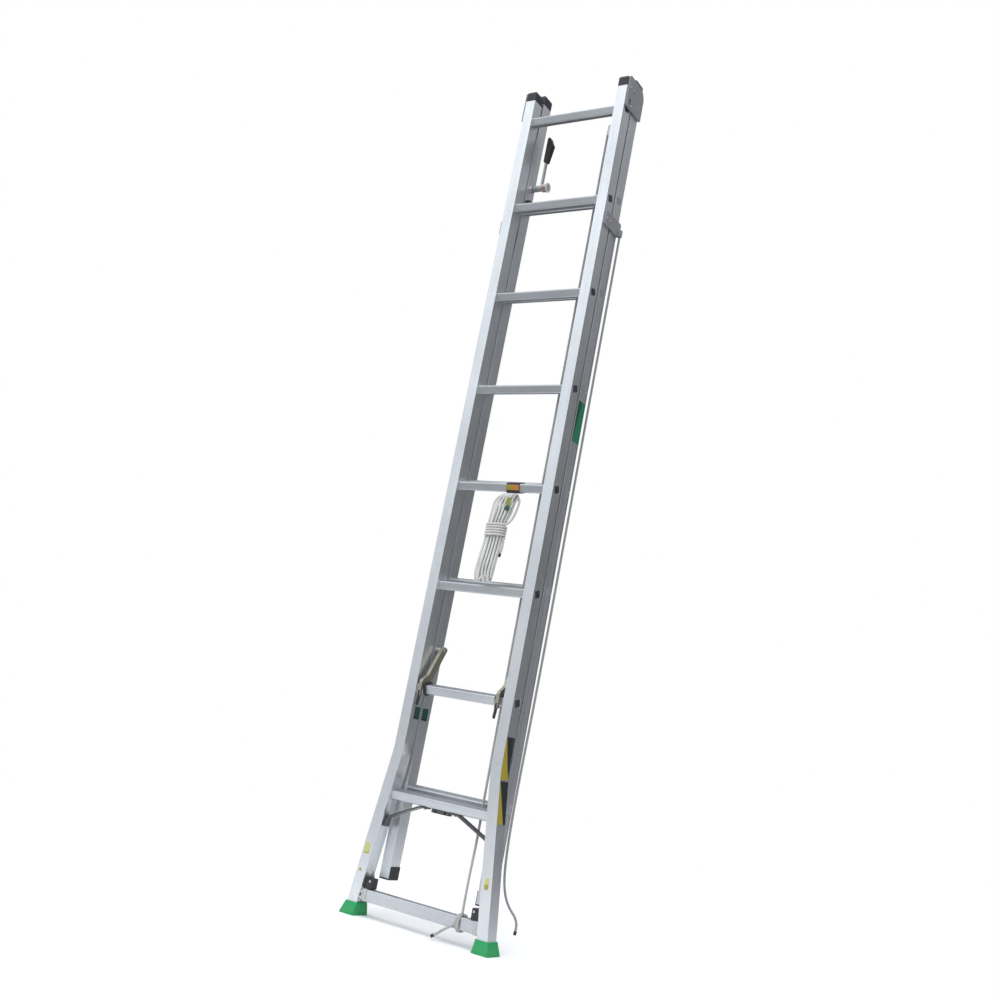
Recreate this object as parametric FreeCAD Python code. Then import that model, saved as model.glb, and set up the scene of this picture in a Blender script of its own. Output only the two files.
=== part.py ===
import FreeCAD, Part
import math
import os

# Two-section extension ladder, standing with its rails upright and the sliding section down.
# Millimetres. +X right, +Y back (the sliding section's side), +Z up the rails.
# The pieces are drawn with y = 0 on the front face of the base rails, then all move by origin_y.

V = FreeCAD.Vector

# overall sizes
rung_pitch = 330.0
rung_count = 8
low_rung_z = 370.0
inner_half = 161.0          # half of the clear width between the rails
rail_over_rung = 75.0       # rail top above the top rung

# rails: rectangular tube
rail_w = 36.0
rail_d = 48.0
rail_wall = 2.2
section_gap = 9.0           # base rails to sliding rails
leg_bend_z = 525.0
leg_angle = 7.1
leg_bend_r = 300.0
leg_end_z = 10.0

# rungs: ribbed tube, turned so that the tread is level on a leaning ladder
rung_d = 32.0
rung_h = 28.0
rung_wall = 2.0
rung_corner = 5.0
rung_turn = 18.0
groove_depth = 1.0
groove_w = 2.6
plug_len = 12.0
rung_recess = 0.6

# sliding section
fly_lift = 20.0             # its rungs sit this much above the base rungs
fly_foot_z = 115.0
fly_stations = (2, 3, 4, 5, 6, 8)
travel_pitches = 5
slide_clear = 1.0

# caps, shoes and bar
cap_h = 40.0
cap_round = 13.0
cap_spigot = 16.0
foot_plate = 4.0
foot_skirt = 40.0
skirt_t = 2.0
shoe_h = 37.0
shoe_wall = 4.5
shoe_flare_x = 6.0
shoe_flare_y = 9.0
shoe_sole = 8.0
bar_z = 63.0
bar_h = 36.0
bar_d = 32.0
bar_wall = 2.0
sleeve_t = 1.6
sleeve_w = 18.0
gusset_t = 3.0
gusset_reach = 44.0
block_w = 27.0
block_h = 31.0

# braces under the lowest rung
brace_in_x = 68.0
brace_drop = 64.0
brace_w = 26.0
brace_t = 5.0

# guides that hold the sliding rails
plate_t = 7.0
guide_lip = 24.0
guide_rear = 6.0
top_guide_h = 110.0
top_guide_drop = 24.0       # below the sliding section's cap
mid_guide_drop = 404.0      # below the top rung
mid_guide_h = 48.0
rivet_r = 4.0
rivet_head = 2.2
lug_w = 11.0
lug_h = 22.0

# rope and pulley
rope_r = 4.0
sheave_run_r = 15.0         # rope centre line over the sheave
sheave_rim = 2.0            # rim beyond the rope's centre line
sheave_t = 11.6
run_to_rail = 7.0           # hoisting run's centre line to the rail
sheave_drop = 62.0          # below the top rung
cheek_t = 2.0
cheek_gap = 0.2
cheek_inset = 1.0
axle_r = 4.0
run_clear = 0.05
rope_clear = 0.35

# rung locks
lock_in_x = 137.0
lock_t = 11.0
lock_pivot_up = 129.0       # above the rung it grips
lock_pin_r = 5.0
lock_clear = 0.6
tongue_len = 40.0
tongue_pin_r = 2.5
ring_t = 7.0
ring_w = 6.0

# catch lever on the left sliding rail
lever_drop = 222.0          # below the top rung
barrel_r = 9.0
barrel_len = 66.0
lever_in = 34.0             # from the rail face to the arm
lever_len = 186.0
lever_t = 6.0
grip_len = 92.0

# worked out from the sizes above
rail_mid = inner_half + rail_w / 2
top_rung_z = low_rung_z + rung_pitch * (rung_count - 1)
rail_top = top_rung_z + rail_over_rung
fly_y = rail_d + section_gap
fly_back = fly_y + rail_d
fly_top = rail_top + fly_lift
rung_y = rail_d / 2 + 1.0
fly_rung_y = fly_y + rail_d / 2
outer_x = inner_half + rail_w
guide_back = fly_back + slide_clear + guide_rear
shoe_front = -shoe_wall - shoe_flare_y
origin_y = -(guide_back + shoe_front) / 2
gap_mid_y = (rung_y + fly_rung_y) / 2
sheave_z = top_rung_z - sheave_drop
lock_station_z = low_rung_z + rung_pitch
lock_pivot_z = lock_station_z + lock_pivot_up
slide_travel = rung_pitch * travel_pitches
mid_guide_z = top_rung_z - mid_guide_drop
lever_z = top_rung_z - lever_drop
sheave_r = sheave_run_r + sheave_rim
sheave_x = inner_half - run_to_rail - sheave_run_r
cheek_reach = sheave_run_r - cheek_inset


def rung_height(station):
    return top_rung_z - rung_pitch * (station - 1)


def corner(before, here, after, radius):
    """Start, end and middle of the arc that rounds one corner of an outline."""
    back = (before - here).normalize()
    on = (after - here).normalize()
    half = back.getAngle(on) / 2
    reach = radius / math.tan(half)
    middle = here + (back + on).normalize() * (radius / math.sin(half) - radius)
    return here + back * reach, here + on * reach, middle


def outline(points, place):
    """Closed wire through (u, v, corner radius) points; place turns u, v into a 3-D point."""
    flat = [V(u, v, 0) for u, v, radius in points]
    corners = []
    for i, (u, v, radius) in enumerate(points):
        after = flat[(i + 1) % len(flat)]
        if radius:
            corners.append(corner(flat[i - 1], flat[i], after, radius))
        else:
            corners.append((flat[i], flat[i], None))
    edges = []
    for i, (start, end, middle) in enumerate(corners):
        if middle:
            arc = Part.Arc(place(start.x, start.y), place(middle.x, middle.y), place(end.x, end.y))
            edges.append(arc.toShape())
        following = corners[(i + 1) % len(corners)][0]
        if (following - end).Length > 0.001:
            a = place(end.x, end.y)
            b = place(following.x, following.y)
            edges.append(Part.LineSegment(a, b).toShape())
    return Part.Wire(edges)


def slab(points, axis, low, high):
    """Prism of an outline along X (u, v = y, z), Y (u, v = x, z) or Z (u, v = x, y)."""
    places = {
        "X": lambda u, v: V(low, u, v),
        "Y": lambda u, v: V(u, low, v),
        "Z": lambda u, v: V(u, v, low),
    }
    along = {"X": V(1, 0, 0), "Y": V(0, 1, 0), "Z": V(0, 0, 1)}
    return Part.Face(outline(points, places[axis])).extrude(along[axis] * (high - low))


def box(x0, x1, y0, y1, z0, z1):
    return Part.makeBox(x1 - x0, y1 - y0, z1 - z0, V(x0, y0, z0))


def rod(radius, start, end):
    along = V(*end) - V(*start)
    return Part.makeCylinder(radius, along.Length, V(*start), along)


def rectangle(u0, u1, v0, v1, radius=0.0):
    return [(u0, v0, radius), (u1, v0, radius), (u1, v1, radius), (u0, v1, radius)]


def mirrored(shape):
    return shape.mirror(V(0, 0, 0), V(1, 0, 0))


def joined(shapes):
    result = shapes[0]
    for other in shapes[1:]:
        result = result.fuse(other)
    return result.removeSplitter()


# ---------------------------------------------------------------- base rails and legs
def leg_line(offset, z):
    """x of the leg's centre line moved outwards by offset, at a height below the bend."""
    turn = math.radians(leg_angle)
    radius = leg_bend_r - offset
    x_end = rail_mid + leg_bend_r - radius * math.cos(turn)
    z_end = leg_bend_z - radius * math.sin(turn)
    if z >= leg_bend_z:
        return rail_mid + offset
    if z > z_end:
        return rail_mid + leg_bend_r - math.sqrt(radius ** 2 - (leg_bend_z - z) ** 2)
    return x_end + (z_end - z) * math.tan(turn)


def bent_rail(half_w, y0, y1, top, bottom):
    """Straight rail that turns outwards below the bend, as one prism along Y."""
    turn = math.radians(leg_angle)

    def arc_point(offset, share):
        radius = leg_bend_r - offset
        x = rail_mid + leg_bend_r - radius * math.cos(turn * share)
        return V(x, y0, leg_bend_z - radius * math.sin(turn * share))

    def edge_of(offset):
        arc = Part.Arc(arc_point(offset, 0), arc_point(offset, 0.5), arc_point(offset, 1))
        head = Part.LineSegment(V(rail_mid + offset, y0, top), arc_point(offset, 0))
        tail = Part.LineSegment(arc_point(offset, 1), V(leg_line(offset, bottom), y0, bottom))
        return [head.toShape(), arc.toShape(), tail.toShape()]

    inner = edge_of(-half_w)
    outer = edge_of(half_w)
    lid = Part.LineSegment(V(rail_mid - half_w, y0, top), V(rail_mid + half_w, y0, top))
    sole_in = V(leg_line(-half_w, bottom), y0, bottom)
    sole_out = V(leg_line(half_w, bottom), y0, bottom)
    sole = Part.LineSegment(sole_in, sole_out)
    edges = inner + [sole.toShape()] + outer[::-1] + [lid.toShape()]
    wire = Part.Wire(Part.__sortEdges__(edges))
    return Part.Face(wire).extrude(V(0, y1 - y0, 0))


def base_rail():
    outside = bent_rail(rail_w / 2, 0, rail_d, rail_top, leg_end_z)
    half = rail_w / 2 - rail_wall
    inside = bent_rail(half, rail_wall, rail_d - rail_wall, rail_top + 1, leg_end_z - 1)
    return outside.cut(inside)


def fly_rail():
    top = fly_top
    bottom = fly_foot_z + foot_plate
    outside = box(inner_half, outer_x, fly_y, fly_back, bottom, top)
    inside = box(inner_half + rail_wall, outer_x - rail_wall, fly_y + rail_wall,
                 fly_back - rail_wall, bottom - 1, top + 1)
    return outside.cut(inside)


# ---------------------------------------------------------------- rungs
def rung_outline(grow, grooves):
    """Rung section about its own centre, as (y, z, corner radius) before it is turned."""
    half_d = rung_d / 2 + grow
    half_h = rung_h / 2 + grow
    radius = rung_corner + grow
    points = [(-half_d, -half_h, radius), (half_d, -half_h, radius), (half_d, half_h, radius)]
    if grooves:
        for i in (2, 1, 0, -1, -2):
            centre = i * groove_w * 1.7
            points.append((centre + groove_w / 2, half_h, 0))
            points.append((centre + groove_w / 2, half_h - groove_depth, 0))
            points.append((centre - groove_w / 2, half_h - groove_depth, 0))
            points.append((centre - groove_w / 2, half_h, 0))
    points.append((-half_d, half_h, radius))
    return points


def rung_bar(y, z, grow, x0, x1, grooves=False):
    shape = slab(rung_outline(grow, grooves), "X", x0, x1)
    shape.rotate(V(0, 0, 0), V(1, 0, 0), rung_turn)
    shape.translate(V(0, y, z))
    return shape


def rung_end_x(station):
    """Half length of a base rung: to the outside of the rail, less a small recess."""
    z = rung_height(station)
    lean = math.tan(math.radians(leg_angle)) * rung_h if z < leg_bend_z else 0.0
    return leg_line(rail_w / 2, z + rung_h) - rung_recess - lean / 4


def rung_tube(y, z, half_len):
    outside = rung_bar(y, z, 0, -half_len, half_len, True)
    inside = rung_bar(y, z, -rung_wall - groove_depth, -half_len - 1, half_len + 1)
    return outside.cut(inside)


def rung_plugs(y, z, half_len):
    """The two plastic plugs that close one rung."""
    plug = rung_bar(y, z, -rung_wall - groove_depth, half_len - plug_len, half_len)
    return [plug, mirrored(plug)]


# ---------------------------------------------------------------- caps and shoes
def rail_cap(y0, top):
    """Moulded cap: a rounded block on the rail's end with a spigot inside the tube."""
    head = box(inner_half, outer_x, y0, y0 + rail_d, top, top + cap_h)
    upper = [e for e in head.Edges if min(v.Z for v in e.Vertexes) > top + cap_h - 0.1]
    head = head.makeFillet(cap_round, upper)
    spigot = box(inner_half + rail_wall, outer_x - rail_wall, y0 + rail_wall,
                 y0 + rail_d - rail_wall, top - cap_spigot, top)
    return joined([head, spigot])


def fly_foot():
    """Bottom cap of a sliding rail, with a wear skirt on the rail's inner side."""
    bottom = fly_foot_z
    plate = box(inner_half - skirt_t, outer_x, fly_y, fly_back, bottom, bottom + foot_plate)
    skirt = box(inner_half - skirt_t, inner_half, fly_y, fly_back, bottom, bottom + foot_skirt)
    spigot = box(inner_half + rail_wall, outer_x - rail_wall, fly_y + rail_wall,
                 fly_back - rail_wall, bottom + foot_plate, bottom + foot_plate + cap_spigot)
    return joined([plate, skirt, spigot])


def shoe():
    """Flared rubber boot with a pocket for the leg."""
    def ring(z, grow_x, grow_y):
        x0 = leg_line(-rail_w / 2, z) - shoe_wall - grow_x
        x1 = leg_line(rail_w / 2, z) + shoe_wall + grow_x
        points = rectangle(x0, x1, -shoe_wall - grow_y, rail_d + shoe_wall + grow_y, 6.0)
        return outline(points, lambda u, v: V(u, v, z))

    flare = Part.makeLoft([ring(shoe_h, 0, 0), ring(shoe_sole, shoe_flare_x * 0.6, shoe_flare_y)],
                          True, True)
    sole = Part.makeLoft([ring(shoe_sole, shoe_flare_x * 0.6, shoe_flare_y),
                          ring(0, shoe_flare_x, shoe_flare_y)], True, True)
    body = joined([flare, sole])
    pocket = bent_rail(rail_w / 2, 0, rail_d, shoe_h + 5, leg_end_z)
    grooves = [box(150, 350, y, y + 4.0, -1, 3.0) for y in (4.0, 14.0, 24.0, 34.0, 44.0)]
    body = body.cut(pocket)
    for groove in grooves:
        body = body.cut(groove)
    return body


# ---------------------------------------------------------------- bottom bar and its brackets
bar_y0 = (rail_d - bar_d) / 2
bar_y1 = bar_y0 + bar_d
bar_low = bar_z - bar_h / 2
bar_high = bar_z + bar_h / 2


def bottom_bar():
    reach = leg_line(-rail_w / 2, bar_high) - 0.2
    outside = slab(rectangle(bar_y0, bar_y1, bar_low, bar_high, 4.0), "X", -reach, reach)
    inner = rectangle(bar_y0 + bar_wall, bar_y1 - bar_wall, bar_low + bar_wall,
                      bar_high - bar_wall, 4.0 - bar_wall)
    return outside.cut(slab(inner, "X", -reach - 1, reach + 1))


def bar_bracket():
    """Sleeve round the bar's end with a triangular plate up to the leg."""
    inner_x = leg_line(-rail_w / 2, bar_high) - 0.2
    start = inner_x - sleeve_w
    outside = slab(rectangle(bar_y0 - sleeve_t, bar_y1 + sleeve_t, bar_low - sleeve_t,
                             bar_high + sleeve_t, 4.0 + sleeve_t), "X", start, inner_x)
    hole = slab(rectangle(bar_y0, bar_y1, bar_low, bar_high, 4.0), "X", start - 1, inner_x + 1)
    top = bar_high + 52.0
    plate = slab([(inner_x - gusset_reach + sleeve_w, bar_high + sleeve_t, 0),
                  (inner_x, bar_high + sleeve_t, 0),
                  (leg_line(-rail_w / 2, top) - 0.2, top, 0)], "Y", bar_y1 + sleeve_t - gusset_t,
                 bar_y1 + sleeve_t)
    return joined([outside.cut(hole), plate])


def corner_block():
    """Moulded stop on top of the bar's end, in front of the triangular plate."""
    z0 = bar_high + sleeve_t
    x1 = leg_line(-rail_w / 2, z0 + block_h) - 1.5
    y1 = bar_y1 + sleeve_t - gusset_t - 1.0
    body = box(x1 - block_w, x1, bar_y0, y1, z0, z0 + block_h)
    upright = [e for e in body.Edges if abs(e.Vertexes[0].Z - e.Vertexes[-1].Z) > 1]
    return body.makeFillet(3.0, upright)


# ---------------------------------------------------------------- brace under the lowest rung
def rung_brace():
    """Bent strap from the lowest rung's underside to the leg."""
    under = low_rung_z - rung_h / 2 - 8.0
    low = under - brace_drop
    leg_x = leg_line(-rail_w / 2, low + 28) - 0.3
    points = [(brace_in_x - 26, under, 0), (brace_in_x, under, 20.0), (leg_x - brace_t, low + 14, 8.0),
              (leg_line(-rail_w / 2, low) - brace_t - 0.3, low - 14, 0),
              (leg_line(-rail_w / 2, low) - 0.3, low - 14, 0),
              (leg_x, low + 17, 12.0), (brace_in_x + 2, under + brace_t, 16.0),
              (brace_in_x - 26, under + brace_t, 0)]
    y0 = rung_y - brace_w / 2
    strap = slab(points, "Y", y0, y0 + brace_w)
    leg = bent_rail(rail_w / 2 + 0.1, -1, rail_d + 1, rail_top, leg_end_z)
    rung = rung_bar(rung_y, low_rung_z, 0.1, -300, 300)
    return strap.cut(leg).cut(rung)


def under_clip():
    """Small riveted hanger plate in the middle of the lowest rung, under its front edge."""
    z1 = low_rung_z - rung_h / 2 - 2
    body = box(-25, 38, rung_y - 10, rung_y + 8, z1 - 12, z1 + 6)
    for x in (-12, 24):
        body = body.cut(rod(4.0, (x, rung_y - 20, z1 - 6), (x, rung_y + 20, z1 - 6)))
    return body.cut(rung_bar(rung_y, low_rung_z, 0.05, -300, 300))


# ---------------------------------------------------------------- guides
def guide(z0, z1, front_y, corner_r):
    """Plate on the outer side of both rails with a lip behind the sliding rail."""
    side = slab([(front_y, z0, 3.0), (guide_back, z0, 3.0), (guide_back, z1, corner_r),
                 (front_y, z1, 6.0)], "X", outer_x, outer_x + plate_t)
    side = side.cut(box(outer_x - 1, outer_x + slide_clear, rail_d + 1.5, guide_back + 1, z0 - 1, z1 + 1))
    lip_top = z1 - corner_r
    lip = box(outer_x - guide_lip, outer_x + slide_clear + 2, guide_back - guide_rear, guide_back,
              z0 + 4, lip_top)
    return joined([side, lip])


def top_guide():
    z1 = fly_top + cap_h - top_guide_drop
    z0 = z1 - top_guide_h
    body = guide(z0, z1, 3.0, 38.0)
    slot = slab(rectangle(18, 30, z0 + 12, z0 + 34, 5.0), "X", outer_x - 1, outer_x + plate_t + 1)
    return body.cut(slot)


def mid_guide():
    return guide(mid_guide_z - mid_guide_h / 2, mid_guide_z + mid_guide_h / 2, 6.0, 6.0)


def line_lug():
    """Lug on the right middle guide, where the lashing line is fixed."""
    z0 = mid_guide_z - mid_guide_h / 2
    x0 = outer_x + plate_t
    return slab(rectangle(x0, x0 + lug_w, guide_back - 15, guide_back, 3.0), "Z", z0, z0 + lug_h)


def guide_rivets():
    """Domed heads that fix each guide to the base rail's outer side."""
    heads = []
    z1 = fly_top + cap_h - top_guide_drop
    z0 = z1 - top_guide_h
    places = [(40, mid_guide_z), (16, mid_guide_z)]
    places += [(14, z1 - 40), (38, z1 - 40), (38, z0 + 12)]
    for y, z in places:
        x = outer_x + plate_t
        head = rod(rivet_r, (x, y, z), (x + rivet_head, y, z))
        rim = [e for e in head.Edges if abs(e.CenterOfMass.x - x - rivet_head) < 0.01]
        head = head.makeFillet(1.2, rim)
        heads += [head, mirrored(head)]
    return heads


# ---------------------------------------------------------------- pulley
cheek_front = gap_mid_y - sheave_t / 2 - cheek_gap
cheek_back = gap_mid_y + sheave_t / 2 + cheek_gap


def pulley_bracket():
    """Inverted U over the sheave, on a plate that is riveted inside the right base rail."""
    z0 = sheave_z - cheek_reach
    z1 = sheave_z + sheave_r + 7
    x0 = sheave_x - cheek_reach
    x1 = inner_half - slide_clear
    plate = box(inner_half - 4, inner_half, 10, cheek_front, z0 - 16, z1)
    web = box(x0 + 6, x1, cheek_front - cheek_t, cheek_back + cheek_t, z1 - 3, z1)
    shape = [(x0, z0, 10), (x1, z0, 4), (x1, z1, 0), (x0, z1, 6)]
    front_cheek = slab(shape, "Y", cheek_front - cheek_t, cheek_front)
    back_cheek = slab(shape, "Y", cheek_back, cheek_back + cheek_t)
    body = joined([plate, web, front_cheek, back_cheek])
    hole = rod(axle_r, (sheave_x, 0, sheave_z), (sheave_x, fly_y + 20, sheave_z))
    return body.cut(hole)


def pulley_axle():
    return rod(axle_r, (sheave_x, cheek_front - cheek_t - 1.5, sheave_z),
               (sheave_x, cheek_back + cheek_t, sheave_z))


def sheave():
    """Grooved wheel, spun about its axle."""
    half = sheave_t / 2
    root = sheave_run_r - rope_r - rope_clear
    groove = [(sheave_r, half - 0.6), (root + 2.0, rope_r - 0.25)]
    bore = axle_r + run_clear

    def at(radius, along):
        return V(sheave_x + radius, gap_mid_y + along, sheave_z)

    (rim_r, rim_y), (wall_r, wall_y) = groove
    edges = [
        Part.LineSegment(at(bore, -half), at(rim_r, -half)),
        Part.LineSegment(at(rim_r, -half), at(rim_r, -rim_y)),
        Part.LineSegment(at(rim_r, -rim_y), at(wall_r, -wall_y)),
        Part.Arc(at(wall_r, -wall_y), at(root, 0), at(wall_r, wall_y)),
        Part.LineSegment(at(wall_r, wall_y), at(rim_r, rim_y)),
        Part.LineSegment(at(rim_r, rim_y), at(rim_r, half)),
        Part.LineSegment(at(rim_r, half), at(bore, half)),
        Part.LineSegment(at(bore, half), at(bore, -half)),
    ]
    face = Part.Face(Part.Wire([edge.toShape() for edge in edges]))
    return face.revolve(V(sheave_x, 0, sheave_z), V(0, 1, 0), 360)


# ---------------------------------------------------------------- rung locks
lock_y = fly_rung_y
lock_out_x = lock_in_x + lock_t


def lock_hook():
    """Plate that hangs from the sliding rail's pin and grips the base rung from above and in front."""
    rung_z = lock_station_z
    front = rung_y - rung_d / 2 - 6.0
    points = [(lock_y + 9, lock_pivot_z - 8, 8.0), (lock_y + 9, lock_pivot_z + 10, 9.0),
              (lock_y - 9, lock_pivot_z + 10, 9.0), (rung_y - 4, rung_z + 42, 22.0),
              (front - 9, rung_z + 22, 10.0), (front - 9, rung_z - 26, 4.0),
              (front, rung_z - 26, 4.0), (front, rung_z + 12, 3.0),
              (rung_y + 10, rung_z + rung_h / 2 + 9, 4.0), (rung_y + 22, rung_z + 34, 8.0)]
    body = slab(points, "X", lock_in_x, lock_out_x)
    seat = rung_bar(rung_y, rung_z, lock_clear, lock_in_x - 1, lock_out_x + 1)
    body = body.cut(seat)
    pin_hole = rod(lock_pin_r + run_clear, (lock_in_x - 1, lock_y, lock_pivot_z),
                   (lock_out_x + 1, lock_y, lock_pivot_z))
    slot = box(lock_in_x + 2.3, lock_out_x - 2.3, front - 12, front + 3, rung_z - 30, rung_z - 9)
    tongue_pin = rod(tongue_pin_r, (lock_in_x - 1, front - 4.5, rung_z - 18),
                     (lock_out_x + 1, front - 4.5, rung_z - 18))
    return body.cut(pin_hole).cut(slot).cut(tongue_pin)


def lock_tongue():
    """Dark tongue that hangs in the hook's front slot, with its own cross pin."""
    rung_z = lock_station_z
    front = rung_y - rung_d / 2 - 6.0
    y = front - 4.5
    z = rung_z - 18
    points = [(y - 3.0, z + 6, 2.5), (y + 3.0, z + 6, 2.5), (y + 3.0, z - 18, 2.0),
              (y - 1.0, z - tongue_len, 2.0), (y - 8.0, z - tongue_len + 6, 3.0)]
    blade = slab(points, "X", lock_in_x + 2.6, lock_out_x - 2.6)
    pin = rod(tongue_pin_r - run_clear, (lock_in_x, y, z), (lock_out_x, y, z))
    return joined([blade, pin])


def lock_pin():
    """Pivot pin fixed in the sliding rail's inner wall, with a head inside of the hook."""
    pin = rod(lock_pin_r, (lock_in_x - 2, lock_y, lock_pivot_z), (inner_half, lock_y, lock_pivot_z))
    head = rod(lock_pin_r + 3, (lock_in_x - 4, lock_y, lock_pivot_z),
               (lock_in_x - 0.6, lock_y, lock_pivot_z))
    collar = rod(lock_pin_r + 3, (lock_out_x + 0.6, lock_y, lock_pivot_z),
                 (inner_half, lock_y, lock_pivot_z))
    return joined([pin, head, collar])


def rung_ring():
    """Rubber buffer ring round the gripped rung, beside the hook."""
    x1 = lock_in_x - 1.0
    outside = rung_bar(rung_y, lock_station_z, ring_w, x1 - ring_t, x1)
    return outside.cut(rung_bar(rung_y, lock_station_z, 0, x1 - ring_t - 1, x1 + 1, True))


# ---------------------------------------------------------------- catch lever (left side)
lever_y = fly_rung_y + 6.0
lever_x = -inner_half + lever_in


def lever_pivot():
    """Barrel on the left sliding rail's inner side, with a white end ring."""
    start = (-inner_half, lever_y, lever_z)
    barrel = rod(barrel_r - 3, start, (-inner_half + barrel_len, lever_y, lever_z))
    flange = rod(barrel_r + 3, start, (-inner_half + 5, lever_y, lever_z))
    end = rod(barrel_r, (-inner_half + barrel_len - 9, lever_y, lever_z),
              (-inner_half + barrel_len, lever_y, lever_z))
    return joined([barrel, flange, end])


def lever_arm():
    """Flat arm with a hub that turns on the barrel."""
    hub = rod(barrel_r + 2, (-inner_half + 8, lever_y, lever_z),
              (-inner_half + barrel_len - 11, lever_y, lever_z))
    points = [(lever_y - 6, lever_z, 0), (lever_y + 6, lever_z, 0),
              (lever_y + 5, lever_z + lever_len, 3.0), (lever_y - 5, lever_z + lever_len, 3.0)]
    blade = slab(points, "X", lever_x, lever_x + lever_t)
    bore = rod(barrel_r - 3 + run_clear, (-inner_half - 1, lever_y, lever_z),
               (-inner_half + barrel_len, lever_y, lever_z))
    return joined([hub, blade]).cut(bore)


def lever_grip():
    """Wedge-shaped moulded grip round the upper half of the arm."""
    z1 = lever_z + lever_len + 10
    z0 = z1 - grip_len - 6
    points = [(lever_x - 4, z0, 3.0), (lever_x + lever_t + 5, z0, 3.0),
              (lever_x + lever_t + 15, z1 - 34, 6.0), (lever_x + 4, z1, 5.0),
              (lever_x - 4, z1 - 6, 3.0)]
    body = slab(points, "Y", lever_y - 9, lever_y + 9)
    inside = [(lever_y - 6, lever_z, 0), (lever_y + 6, lever_z, 0),
              (lever_y + 5, lever_z + lever_len, 3.0), (lever_y - 5, lever_z + lever_len, 3.0)]
    return body.cut(slab(inside, "X", lever_x, lever_x + lever_t))


# ---------------------------------------------------------------- rope
def rope_anchor():
    """Block clamped on the sliding section's lowest rung, where the hoisting rope ends."""
    z = low_rung_z + fly_lift
    x = sheave_x + sheave_run_r
    body = box(x - 7, x + 6.5, gap_mid_y - 6, fly_rung_y - 6, z - 15, z + 20)
    return body.cut(rung_bar(fly_rung_y, z, 0, -300, 300))


def tube(points, name, first=None):
    """Round rope solid: straight runs joined by tangent arcs, with an optional first arc."""
    stops = [V(*p) for p in points]
    edges = []
    last = stops[0]
    if first:
        edges.append(first.toShape())
    for i in range(1, len(stops) - 1):
        into = stops[i - 1] - stops[i]
        out = stops[i + 1] - stops[i]
        half = into.getAngle(out) / 2
        turn = math.pi / 2 - half
        reach = 0.45 * min(into.Length, out.Length)
        radius = reach / math.tan(turn)
        start, end, middle = corner(stops[i - 1], stops[i], stops[i + 1], radius)
        print(name, "bend", i, "radius", round(radius, 1))
        edges.append(Part.LineSegment(last, start).toShape())
        edges.append(Part.Arc(start, middle, end).toShape())
        last = end
    edges.append(Part.LineSegment(last, stops[-1]).toShape())
    path = Part.Wire(edges)
    tangent = edges[0].tangentAt(edges[0].FirstParameter)
    start = edges[0].valueAt(edges[0].FirstParameter)
    ring = Part.Wire(Part.makeCircle(rope_r, start, tangent))
    body = path.makePipeShell([ring], True, False)
    section = math.pi * rope_r ** 2
    print(name, "length", round(path.Length), "volume ratio", round(body.Volume / section / path.Length, 4))
    return body


knot_x0 = 139.0
knot_x1 = 151.0

free_route = [(sheave_x - sheave_run_r, gap_mid_y, sheave_z), (125, 53.2, 440), (127, 53.2, 368),
              (131, 47.5, 306), (137, 36, 250), (142, 25, 196), (145, 20, 140),
              (145, 20, bar_high + 2 * rope_r + run_clear)]
tail_route = [(knot_x0, bar_y0 - rope_r, 50), (126, bar_y0 - rope_r, 50), (112, 1, 42),
              (97, -4, 29), (84, -7, 18), (72, -8, 10)]
line_x = outer_x + plate_t + lug_w / 2
line_y = guide_back - 7.0
line_top = mid_guide_z - mid_guide_h / 2 - run_clear
lashing_route = [(line_x, line_y, line_top), (line_x, line_y, 2190),
                 (209, 105.5, 2060), (208, 106.4, 1830), (207.5, 107, 1540), (207.3, 106.8, 1240),
                 (207.5, 106, 950), (206, 105.4, 700), (202, 105.6, 490), (201, 107, 350),
                 (204, 108, 254), (211, 108.5, 190), (226, 109, 148), (246, 110, 122),
                 (266, 111, 106), (277, 112, 84), (274, 112, 58)]


def rope_free_run():
    """Hauling side: over the sheave, down inside the right rails and out to the bottom bar."""
    right = V(sheave_x + sheave_run_r, gap_mid_y, sheave_z)
    left = V(sheave_x - sheave_run_r, gap_mid_y, sheave_z)
    over = Part.Arc(right, V(sheave_x, gap_mid_y, sheave_z + sheave_run_r), left)
    return tube(free_route, "rope_free_run", over)


def rope_hoist_run():
    x = sheave_x + sheave_run_r
    return rod(rope_r, (x, gap_mid_y, low_rung_z + fly_lift + 20), (x, gap_mid_y, sheave_z))


def rope_knot():
    """Turn of rope round the bottom bar, as its outer shape."""
    grow = 2 * rope_r
    outside = slab(rectangle(bar_y0 - grow, bar_y1 + grow, bar_low - grow, bar_high + grow, 10.0),
                   "X", knot_x0, knot_x1)
    hole = slab(rectangle(bar_y0, bar_y1, bar_low, bar_high, 4.0), "X", knot_x0 - 1, knot_x1 + 1)
    return outside.cut(hole)


strap_t = 3.0
strap_x0 = 24.0
strap_x1 = 70.0
hank_z1 = rung_height(5) - rung_h / 2 - 4
hank_z0 = rung_height(6) + 4


def rope_hank():
    """Outer shape of the hank, from its strap on rung 5 to the front of rung 6."""
    levels = [(hank_z1, 30, 18, 24, 15), (hank_z1 - 60, 30, 10, 30, 20),
              (hank_z1 - 125, 29, 0, 42, 24), (hank_z1 - 190, 28, -10, 32, 21),
              (hank_z0, 27, -22, 27, 17)]
    rings = []
    for z, x, y, half_x, half_y in levels:
        radius = half_y * 0.9
        points = rectangle(x - half_x, x + half_x, y - half_y, y + half_y, radius)
        rings.append(outline(points, lambda u, v: V(u, v, z)))
    body = Part.makeLoft(rings, True, False)
    return body.cut(rung_bar(rung_y, rung_height(5), strap_t + 0.05, -300, 300))


def hank_strap():
    """Fabric strap round rung 5 that holds the hank."""
    z = rung_height(5)
    outside = rung_bar(rung_y, z, strap_t, strap_x0, strap_x1)
    return outside.cut(rung_bar(rung_y, z, 0.05, strap_x0 - 1, strap_x1 + 1))


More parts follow.
